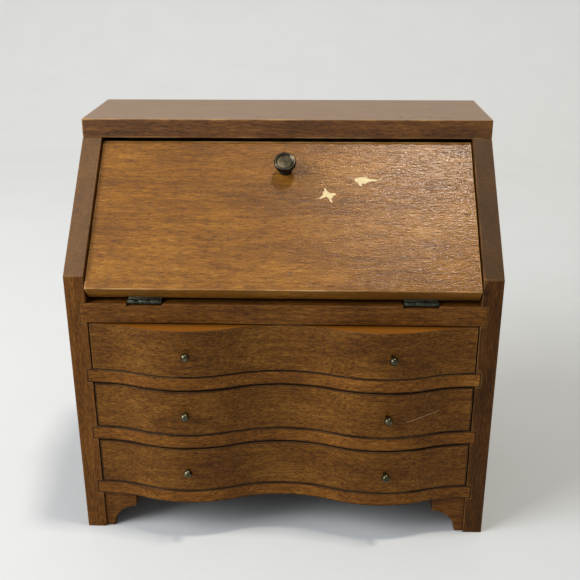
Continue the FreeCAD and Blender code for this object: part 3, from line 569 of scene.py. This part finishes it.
# One S of the oxbow: two equal arcs that climb from 0 to rise over the given length.
def arcStep(tree, distance, length, rise):
    half = calculate(tree, "MULTIPLY", length, 0.5)
    squares = calculate(tree, "MULTIPLY_ADD", length, length, calculate(tree, "MULTIPLY", rise, rise))
    radius = calculate(tree, "DIVIDE", squares, calculate(tree, "MULTIPLY", rise, 4.0))
    nearEnd = calculate(tree, "MINIMUM", distance, calculate(tree, "SUBTRACT", length, distance))
    squared = calculate(tree, "SUBTRACT", calculate(tree, "MULTIPLY", radius, radius),
                        calculate(tree, "MULTIPLY", nearEnd, nearEnd))
    drop = calculate(tree, "SUBTRACT", radius, calculate(tree, "SQRT", squared))
    upper = calculate(tree, "SUBTRACT", rise, drop)
    pastHalf = calculate(tree, "GREATER_THAN", distance, half)
    swing = calculate(tree, "SUBTRACT", upper, drop)
    return calculate(tree, "MULTIPLY_ADD", pastHalf, swing, drop)


def newTree(name, sockets):
    tree = bpy.data.node_groups.new(name, "GeometryNodeTree")
    identifiers = {}
    for label, kind in sockets:
        socket = tree.interface.new_socket(label, in_out="INPUT", socket_type=kind)
        identifiers[label] = socket.identifier
    tree.interface.new_socket("Geometry", in_out="OUTPUT", socket_type="NodeSocketGeometry")
    return tree, identifiers, addNode(tree, "NodeGroupInput").outputs


def applyTree(piece, tree, identifiers, values):
    modifier = piece.modifiers.new(tree.name, "NODES")
    modifier.node_group = tree
    for label, value in values.items():
        modifier[identifiers[label]] = value
    settle(piece)


def finishTree(tree, geometry, material):
    realized = addNode(tree, "GeometryNodeRealizeInstances", {0: geometry})
    painted = addNode(tree, "GeometryNodeSetMaterial", {0: realized.outputs[0], "Material": material})
    addNode(tree, "NodeGroupOutput", {0: painted.outputs[0]})


# A straight board whose front edge is pushed out to the oxbow line, rebated at the back of its ends
# where a drawer's sides lap behind its front.
def oxbowTree():
    tree, identifiers, given = newTree("oxbow_board", [
        ("Geometry", "NodeSocketGeometry"), ("Half Length", "NodeSocketFloat"),
        ("Half Oxbow", "NodeSocketFloat"), ("Crest Reach", "NodeSocketFloat"),
        ("Crest Proud", "NodeSocketFloat"), ("Waist Set", "NodeSocketFloat"),
        ("Front", "NodeSocketFloat"), ("Back", "NodeSocketFloat"), ("Floor", "NodeSocketFloat"),
        ("Height", "NodeSocketFloat"), ("Steps", "NodeSocketInt"), ("Half Box", "NodeSocketFloat"),
        ("Lap", "NodeSocketFloat"), ("Rebated", "NodeSocketBool"), ("Material", "NodeSocketMaterial")])
    blank = addNode(tree, "GeometryNodeMeshCube", {"Size": (1, 1, 1), "Vertices X": given["Steps"],
                                                   "Vertices Y": 2, "Vertices Z": 2})
    position = addNode(tree, "GeometryNodeInputPosition").outputs[0]
    x, y, z = addNode(tree, "ShaderNodeSeparateXYZ", {0: position}).outputs
    spread = calculate(tree, "MULTIPLY", calculate(tree, "MULTIPLY", x, 2.0), given["Half Length"])
    reach = calculate(tree, "ABSOLUTE", spread)
    fromEnd = calculate(tree, "SUBTRACT", given["Half Oxbow"], reach)
    fromEnd = calculate(tree, "MAXIMUM", fromEnd, 0.0)
    outerLength = calculate(tree, "SUBTRACT", given["Half Oxbow"], given["Crest Reach"])
    outer = arcStep(tree, fromEnd, outerLength, given["Crest Proud"])
    fall = calculate(tree, "ADD", given["Crest Proud"], given["Waist Set"])
    fromCrest = calculate(tree, "SUBTRACT", given["Crest Reach"], reach)
    inner = arcStep(tree, fromCrest, given["Crest Reach"], fall)
    inner = calculate(tree, "SUBTRACT", given["Crest Proud"], inner)
    between = calculate(tree, "LESS_THAN", reach, given["Crest Reach"])
    proud = addNode(tree, "ShaderNodeMix", {0: between, 2: outer, 3: inner},
                    data_type="FLOAT").outputs[0]
    frontEdge = calculate(tree, "SUBTRACT", given["Front"], proud)
    atFront = calculate(tree, "LESS_THAN", y, 0.0)
    depth = addNode(tree, "ShaderNodeMix", {0: atFront, 2: given["Back"], 3: frontEdge},
                    data_type="FLOAT").outputs[0]
    level = calculate(tree, "MULTIPLY_ADD", calculate(tree, "ADD", z, 0.5),
                      given["Height"], given["Floor"])
    bent = addNode(tree, "ShaderNodeCombineXYZ", {0: spread, 1: depth, 2: level}).outputs[0]
    board = addNode(tree, "GeometryNodeSetPosition",
                    {"Geometry": blank.outputs[0], "Position": bent}).outputs[0]

    # Each rebate is cut by a block larger than the waste, from the box's side outwards.
    overlap = 1 * mm
    blocks = addNode(tree, "GeometryNodeJoinGeometry")
    blockSide = calculate(tree, "ADD", given["Height"], 2 * overlap)
    size = addNode(tree, "ShaderNodeCombineXYZ",
                   {0: blockSide, 1: blockSide, 2: blockSide}).outputs[0]
    halfSide = calculate(tree, "MULTIPLY", blockSide, 0.5)
    blockX = calculate(tree, "ADD", given["Half Box"], halfSide)
    blockY = calculate(tree, "ADD", calculate(tree, "SUBTRACT", given["Back"], given["Lap"]), halfSide)
    blockZ = calculate(tree, "MULTIPLY_ADD", given["Height"], 0.5, given["Floor"])
    for sign in (-1.0, 1.0):
        block = addNode(tree, "GeometryNodeMeshCube", {"Size": size}).outputs[0]
        away = calculate(tree, "MULTIPLY", blockX, sign)
        place = addNode(tree, "ShaderNodeCombineXYZ", {0: away, 1: blockY, 2: blockZ}).outputs[0]
        moved = addNode(tree, "GeometryNodeTransform", {"Geometry": block, "Translation": place})
        tree.links.new(moved.outputs[0], blocks.inputs[0])
    cut = addNode(tree, "GeometryNodeMeshBoolean", {"Mesh 1": board, "Mesh 2": blocks.outputs[0]},
                  operation="DIFFERENCE", solver="EXACT").outputs[0]
    chosen = addNode(tree, "GeometryNodeSwitch",
                     {"Switch": given["Rebated"], "False": board, "True": cut},
                     input_type="GEOMETRY").outputs[0]
    finishTree(tree, chosen, given["Material"])
    return tree, identifiers


oxbowNodes, oxbowInputs = oxbowTree()


def makeOxbow(node, material, slot, halfOxbow, rebated):
    low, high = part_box(node)
    piece = newPiece(node + "_wood", bpy.data.meshes.new(node))
    halfBox = high.x
    if rebated:
        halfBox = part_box(node.replace("front", "right_side"))[0].x
    applyTree(piece, oxbowNodes, oxbowInputs, {
        "Half Length": high.x, "Half Oxbow": halfOxbow, "Crest Reach": oxbow["crestReach"],
        "Crest Proud": frontPlane - low.y, "Waist Set": oxbow["waistSet"], "Front": frontPlane,
        "Back": high.y, "Floor": low.z, "Height": high.z - low.z,
        "Steps": round(2 * high.x / oxbow["stepLength"]) + 1, "Half Box": halfBox,
        "Lap": oxbow["lap"], "Rebated": rebated, "Material": material})
    finishBoard(piece, "face" if rebated else "across", Vector((0, low.y, low.z)), oxbow["easing"])
    dress(piece, material, bodyOf(node), slot, node)


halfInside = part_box("gallery_shelf")[1].x
for node in ("upper_shelf", "lower_shelf", "base_shelf"):
    makeOxbow(node, shelfMahogany, "case_wood", halfInside, False)
for drawer in drawers:
    node = drawer + "_drawer_front"
    wood = {"upper": upperDrawerMahogany, "middle": scratchedMahogany}.get(drawer, drawerMahogany)
    makeOxbow(node, wood, "drawer_front_wood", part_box(node)[1].x, True)
print("oxbow pieces made")


# Corners are (radius, height, rounding), all in mm, from the foot to the tip.
def roundedOutline(corners, steps=6):
    points = [Vector(corner[:2]) for corner in corners]
    outline = [points[0]]
    for i in range(1, len(corners) - 1):
        before = (points[i - 1] - points[i]).normalized()
        after = (points[i + 1] - points[i]).normalized()
        rounding = corners[i][2]
        if rounding == 0:
            outline.append(points[i])
            continue
        for step in range(steps + 1):
            share = step / steps
            start = points[i] + before * rounding
            end = points[i] + after * rounding
            outline.append(start * (1 - share) ** 2 + points[i] * 2 * share * (1 - share)
                           + end * share ** 2)
    outline.append(points[-1])
    return outline


# Turns an outline of (radius, height) in mm round an axis that starts at the foot.
def turnedMesh(name, outline, foot, axis, around):
    shape = bmesh.new()
    turn = axis.to_track_quat("Z", "Y").to_matrix()
    rings = []
    for radius, height in outline:
        count = 1 if radius < 1e-6 else around
        ring = []
        for step in range(count):
            angle = 2 * math.pi * step / around
            local = Vector((radius * math.cos(angle), radius * math.sin(angle), height)) * mm
            ring.append(shape.verts.new(foot + turn @ local))
        rings.append(ring)
    for lower, upper in zip(rings, rings[1:]):
        for step in range(around):
            after = (step + 1) % around
            corners = [lower[step % len(lower)], lower[after % len(lower)],
                       upper[after % len(upper)], upper[step % len(upper)]]
            distinct = list(dict.fromkeys(corners))
            if len(distinct) > 2:
                shape.faces.new(distinct)
    bmesh.ops.recalc_face_normals(shape, faces=shape.faces)
    mesh = bpy.data.meshes.new(name)
    shape.to_mesh(mesh)
    shape.free()
    mesh.shade_smooth()
    return mesh


# The places of a CAD node's points from the hinge axis: across, up the slope and into the desk.
def onSlope(node):
    points = np.array([vert.co for vert in frame["nodes"][node].data.vertices]) - np.array(hingeAxis)
    return points @ np.array([list(axis) for axis in boardAxes["slope"]]).T


# Radii and heights in mm, and around is the number of sides. The head has a shallow dish. Faces
# turned more than the patina angle from the lid's own way get the dark bronze: partly patina where no
# finger polishes, partly painted shade on the neck and the outline of the rim.
lidKnob = {"footRadius": 1.9, "footRise": 0.4, "neckRadius": 1.25, "neckStart": 1.0, "neckRise": 1.5,
           "underRim": 2.95, "headRadius": 2.95, "stand": 4.2, "dishEdge": 2.4, "dishFloor": 1.95,
           "dish": 0.28, "patinaAndShadeAngle": 36, "around": 96}
knobPoints = onSlope("lid_knob")
across, up, _ = (knobPoints.min(0) + knobPoints.max(0)) / 2
knobFoot = hingeAxis + Vector((across, 0, 0)) + slopeUp * up + slopeIn * onSlope("lid")[:, 2].min()
outline = roundedOutline([
    (0, 0, 0), (lidKnob["footRadius"], 0, 0), (lidKnob["footRadius"], lidKnob["footRise"], 0.15),
    (lidKnob["neckRadius"], lidKnob["neckStart"], 0.35),
    (lidKnob["neckRadius"], lidKnob["neckRise"], 0.35),
    (lidKnob["headRadius"], lidKnob["underRim"], 0.25),
    (lidKnob["headRadius"], lidKnob["stand"], 0.42), (lidKnob["dishEdge"], lidKnob["stand"], 0.12),
    (lidKnob["dishFloor"], lidKnob["stand"] - lidKnob["dish"], 0.2),
    (0, lidKnob["stand"] - lidKnob["dish"], 0)])
knob = newPiece("lid_knob_turned",
                turnedMesh("lid_knob_turned", outline, knobFoot, -slopeIn, lidKnob["around"]))
dress(knob, lidKnobBronze, "lid", "lid_knob_bronze", "lid_knob")
knob.data.materials.append(lidKnobPatinaAndShade)
for face in knob.data.polygons:
    face.material_index = int(face.normal.angle(-slopeIn) > math.radians(lidKnob["patinaAndShadeAngle"]))

# The drawer pins have ball heads. Years of pulling have bent some of them down a little.
drawerKnob = {"shankRadius": 0.45, "shankIn": 4.4, "headRadius": 1.15, "stand": 2.7,
              "ballSteps": 14, "around": 40,
              "droop": {"left": (0.0, -3.0), "right": (13.0, -26.0)}}  # degrees, sideways and up
ballStart = math.acos(drawerKnob["shankRadius"] / drawerKnob["headRadius"])
ballCentre = drawerKnob["stand"] - drawerKnob["headRadius"]
ballOutline = [(0, -drawerKnob["shankIn"]), (drawerKnob["shankRadius"], -drawerKnob["shankIn"])]
for step in range(drawerKnob["ballSteps"]):
    angle = -ballStart + (math.pi / 2 + ballStart) * step / drawerKnob["ballSteps"]
    ballOutline.append((drawerKnob["headRadius"] * math.cos(angle),
                        ballCentre + drawerKnob["headRadius"] * math.sin(angle)))
ballOutline.append((0, drawerKnob["stand"]))
for drawer in drawers:
    for hand in ("left", "right"):
        node = f"{drawer}_drawer_{hand}_knob"
        low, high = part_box(node)
        middle = (low + high) / 2
        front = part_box(f"{drawer}_drawer_front")[0].y
        sideways, upwards = (math.radians(angle) for angle in drawerKnob["droop"][hand])
        axis = Vector((math.sin(sideways), -1, math.sin(upwards))).normalized()
        foot = Vector((middle.x, front, middle.z))
        turned = turnedMesh(node, ballOutline, foot, axis, drawerKnob["around"])
        piece = newPiece(node + "_turned", turned)
        dress(piece, pinBrass, drawer + "_drawer", "drawer_knob_brass", node)
print("knobs made")


smallMetal = {"easing": 0.05 * mm, "shortest": 0.05 * mm, "creaseAngle": 35,
              "nodes": {"left_hinge_desk_leaf": hingeBrass, "right_hinge_desk_leaf": hingeBrass,
                        "left_hinge_lid_leaf": hingeBrass, "right_hinge_lid_leaf": hingeBrass,
                        "left_hinge_pin": hingeBrass, "right_hinge_pin": hingeBrass,
                        "lid_knob_screw": bradSteel}}
for node, metal in smallMetal["nodes"].items():
    piece = newPiece(node + "_metal", mergedCopy(node))
    markArrises(piece.data, smallMetal["shortest"])
    bevel = piece.modifiers.new("softened_edges", "BEVEL")
    bevel.limit_method = "WEIGHT"
    bevel.width = smallMetal["easing"]
    bevel.segments = 2
    settle(piece)
    piece.data.shade_smooth()
    piece.data.set_sharp_from_angle(angle=math.radians(smallMetal["creaseAngle"]))
    slot = "brad_steel" if node == "lid_knob_screw" else "hinge_metal"
    dress(piece, metal, bodyOf(node), slot, node)


nails = {"shank": 0.3 * mm, "head": 0.6 * mm, "headHeight": 0.3 * mm, "dome": 0.12 * mm, "seed": 4,
         "capShare": 0.98, "lean": 0.03, "creaseAngle": 50}


# A domed, countersunk nail at each point, driven a hair out of true and turned at random.
def nailTree():
    tree, identifiers, given = newTree("nails", [
        ("Geometry", "NodeSocketGeometry"), ("Shank", "NodeSocketFloat"), ("Head", "NodeSocketFloat"),
        ("Head Height", "NodeSocketFloat"), ("Dome", "NodeSocketFloat"), ("Length", "NodeSocketFloat"),
        ("Drive", "NodeSocketVector"), ("Seed", "NodeSocketInt"), ("Material", "NodeSocketMaterial")])
    headFoot = calculate(tree, "MULTIPLY", given["Head Height"], -1.0)
    head = addNode(tree, "GeometryNodeMeshCone",
                   {"Vertices": 24, "Radius Top": given["Head"], "Radius Bottom": given["Shank"],
                    "Depth": given["Head Height"]})
    low = addNode(tree, "ShaderNodeCombineXYZ", {2: headFoot}).outputs[0]
    head = addNode(tree, "GeometryNodeTransform",
                   {"Geometry": head.outputs[0], "Translation": low}).outputs[0]
    cap = addNode(tree, "GeometryNodeMeshUVSphere", {"Segments": 24, "Rings": 12, "Radius": given["Head"]})
    squash = calculate(tree, "DIVIDE", given["Dome"], given["Head"])
    flat = addNode(tree, "ShaderNodeCombineXYZ",
                   {0: nails["capShare"], 1: nails["capShare"], 2: squash}).outputs[0]
    cap = addNode(tree, "GeometryNodeTransform", {"Geometry": cap.outputs[0], "Scale": flat}).outputs[0]
    shankLength = calculate(tree, "SUBTRACT", given["Length"], given["Head Height"])
    shank = addNode(tree, "GeometryNodeMeshCylinder", {"Vertices": 16, "Radius": given["Shank"],
                                                       "Depth": shankLength})
    under = calculate(tree, "MULTIPLY_ADD", shankLength, -0.5, headFoot)
    lower = addNode(tree, "ShaderNodeCombineXYZ", {2: under}).outputs[0]
    shank = addNode(tree, "GeometryNodeTransform",
                    {"Geometry": shank.outputs[0], "Translation": lower}).outputs[0]
    nail = addNode(tree, "GeometryNodeJoinGeometry")
    for part in (head, cap, shank):
        tree.links.new(part, nail.inputs[0])
    aim = addNode(tree, "FunctionNodeAlignRotationToVector", {"Vector": given["Drive"]},
                  axis="Z").outputs[0]
    lean = nails["lean"]
    spin = addNode(tree, "FunctionNodeRandomValue",
                   {"Min": (-lean, -lean, 0.0), "Max": (lean, lean, 6.28), "Seed": given["Seed"]},
                   data_type="FLOAT_VECTOR")
    turn = addNode(tree, "FunctionNodeRotateRotation", {"Rotation": aim, "Rotate By": spin.outputs[0]},
                   rotation_space="LOCAL").outputs[0]
    driven = addNode(tree, "GeometryNodeInstanceOnPoints",
                     {"Points": given["Geometry"], "Instance": nail.outputs[0], "Rotation": turn})
    finishTree(tree, driven.outputs[0], given["Material"])
    return tree, identifiers


# The middle of each nail's head, found from the separate solids of a CAD node of nails.
def nailHeads(node, drive):
    shape = bmesh.new()
    shape.from_mesh(frame["nodes"][node].data)
    bmesh.ops.remove_doubles(shape, verts=shape.verts, dist=0.001 * mm)
    heads, seen, length = [], set(), 0
    for vert in shape.verts:
        if vert in seen:
            continue
        island, queue = [], [vert]
        seen.add(vert)
        while queue:
            current = queue.pop()
            island.append(current.co.copy())
            for edge in current.link_edges:
                other = edge.other_vert(current)
                if other not in seen:
                    seen.add(other)
                    queue.append(other)
        heights = [-point.dot(drive) for point in island]
        top = [point for point, height in zip(island, heights) if height > max(heights) - 0.01 * mm]
        heads.append(sum(top, Vector()) / len(top))
        length = max(heights) - min(heights)
    shape.free()
    return heads, length


nailNodes, nailInputs = nailTree()
for node, drive, metal, slot in (("desk_leaf_nails", Vector((0, 0, -1)), hingeBrass, "hinge_metal"),
                                 ("lid_leaf_nails", -slopeIn, hingeBrass, "hinge_metal"),
                                 ("back_panel_brads", Vector((0, -1, 0)), bradSteel, "brad_steel")):
    heads, length = nailHeads(node, drive)
    mesh = bpy.data.meshes.new(node)
    mesh.from_pydata(heads, [], [])
    piece = newPiece(node + "_driven", mesh)
    applyTree(piece, nailNodes, nailInputs, {
        "Shank": nails["shank"], "Head": nails["head"], "Head Height": nails["headHeight"],
        "Dome": nails["dome"], "Length": length, "Drive": -drive, "Seed": nails["seed"],
        "Material": metal})
    piece.data.shade_smooth()
    piece.data.set_sharp_from_angle(angle=math.radians(nails["creaseAngle"]))
    dress(piece, metal, bodyOf(node), slot, node)
print("hinges and nails made")


studio = {"floorFront": -0.9, "wall": 0.75, "bend": 0.35, "height": 1.3, "halfWidth": 1.6,
          "bendSteps": 24, "paper": "#BCBEBD", "paintedLightFarPaper": "#C9CBCA", "fade": (0.0, 0.4),
          "fibre": "#9A9C9B", "room": "#E6EAEE", "roomStrength": 0.46}


# Matt paper that runs from the floor up the wall, soft and without gloss, painted paler with distance as painted
# light on the wall.
def sweep():
    profile = [(studio["floorFront"], 0.0)]
    for step in range(studio["bendSteps"] + 1):
        angle = math.pi / 2 * step / studio["bendSteps"]
        profile.append((studio["wall"] - studio["bend"] + studio["bend"] * math.sin(angle),
                        studio["bend"] * (1 - math.cos(angle))))
    profile.append((studio["wall"], studio["height"]))
    mesh = bpy.data.meshes.new("paper_sweep")
    points = [(side * studio["halfWidth"], y, z) for y, z in profile for side in (-1, 1)]
    faces = [(2 * i, 2 * i + 1, 2 * i + 3, 2 * i + 2) for i in range(len(profile) - 1)]
    mesh.from_pydata(points, [], faces)
    mesh.shade_smooth()
    piece = newPiece("paper_sweep", mesh)
    material, tree = newMaterial("matte_backdrop_paper")
    place = addNode(tree, "ShaderNodeTexCoord").outputs["Object"]
    away = addNode(tree, "ShaderNodeSeparateXYZ", {0: place}).outputs["Y"]
    # Painted light: the paper is paler toward the wall.
    fade = remap(tree, away, *studio["fade"])
    colour = mixColour(tree, fade, studio["paper"], studio["paintedLightFarPaper"])
    fibres = grainNoise(tree, place, (30, 30, 30), 3)
    colour = mixColour(tree, remap(tree, fibres, 0.3, 0.7, 0, 0.06), colour, studio["fibre"])
    shader = addNode(tree, "ShaderNodeBsdfPrincipled", {"Base Color": colour, "Roughness": 0.85})
    addNode(tree, "ShaderNodeOutputMaterial", {0: shader.outputs[0]})
    mesh.materials.append(material)


# The overhead light gives the sheen and the crisp shadows, and the window lights the bows' left sides.
lamps = {
    "overhead_softbox": {"place": (0.33, -0.06, 2.0), "target": (0, 0, 0.08), "size": 0.22,
                         "watts": 22.5, "colour": "#FFF6EA"},
    "left_window": {"place": (-0.5, -0.25, 0.4), "target": (0, 0, 0.06), "size": 0.4,
                    "watts": 5.8, "colour": "#F8FAFF"},
}


def makeLamp(name, given):
    light = bpy.data.lights.new(name, "AREA")
    light.shape = "RECTANGLE"
    light.size = given["size"]
    light.size_y = given["size"]
    light.energy = given["watts"]
    light.color = linear(given["colour"])[:3]
    lamp = newPiece(name, light)
    lamp.visible_camera = False
    lamp.location = given["place"]
    aim = Vector(given["target"]) - Vector(given["place"])
    lamp.rotation_euler = aim.to_track_quat("-Z", "Y").to_euler()


sweep()
for name, given in lamps.items():
    makeLamp(name, given)
world = bpy.data.worlds.new("pale_room")
world.use_nodes = True
background = world.node_tree.nodes["Background"]
background.inputs["Color"].default_value = linear(studio["room"])
background.inputs["Strength"].default_value = studio["roomStrength"]
bpy.context.scene.world = world
bpy.context.scene.view_settings.view_transform = "Standard"

# The camera stands 20 cm in front of the desk, higher than its top, and looks down on it.
camera = {"place": (8.49 * mm, -232.81 * mm, 154.97 * mm),
          "yaw": -1.82, "pitch": -21.70, "roll": 0.13,  # degrees
          "lens": 53.85, "sensor": 36, "nearest": 10 * mm}
cameraData = bpy.data.cameras.new("camera")
cameraData.lens = camera["lens"]
cameraData.sensor_width = camera["sensor"]
cameraData.clip_start = camera["nearest"]
cameraObject = newPiece("camera", cameraData)
yaw, pitch, roll = (math.radians(camera[name]) for name in ("yaw", "pitch", "roll"))
turn = Matrix.Rotation(-yaw, 4, "Z") @ Matrix.Rotation(math.pi / 2 + pitch, 4, "X")
turn = turn @ Matrix.Rotation(-roll, 4, "Z")
cameraObject.matrix_world = Matrix.Translation(camera["place"]) @ turn
bpy.context.scene.camera = cameraObject
print("studio made")
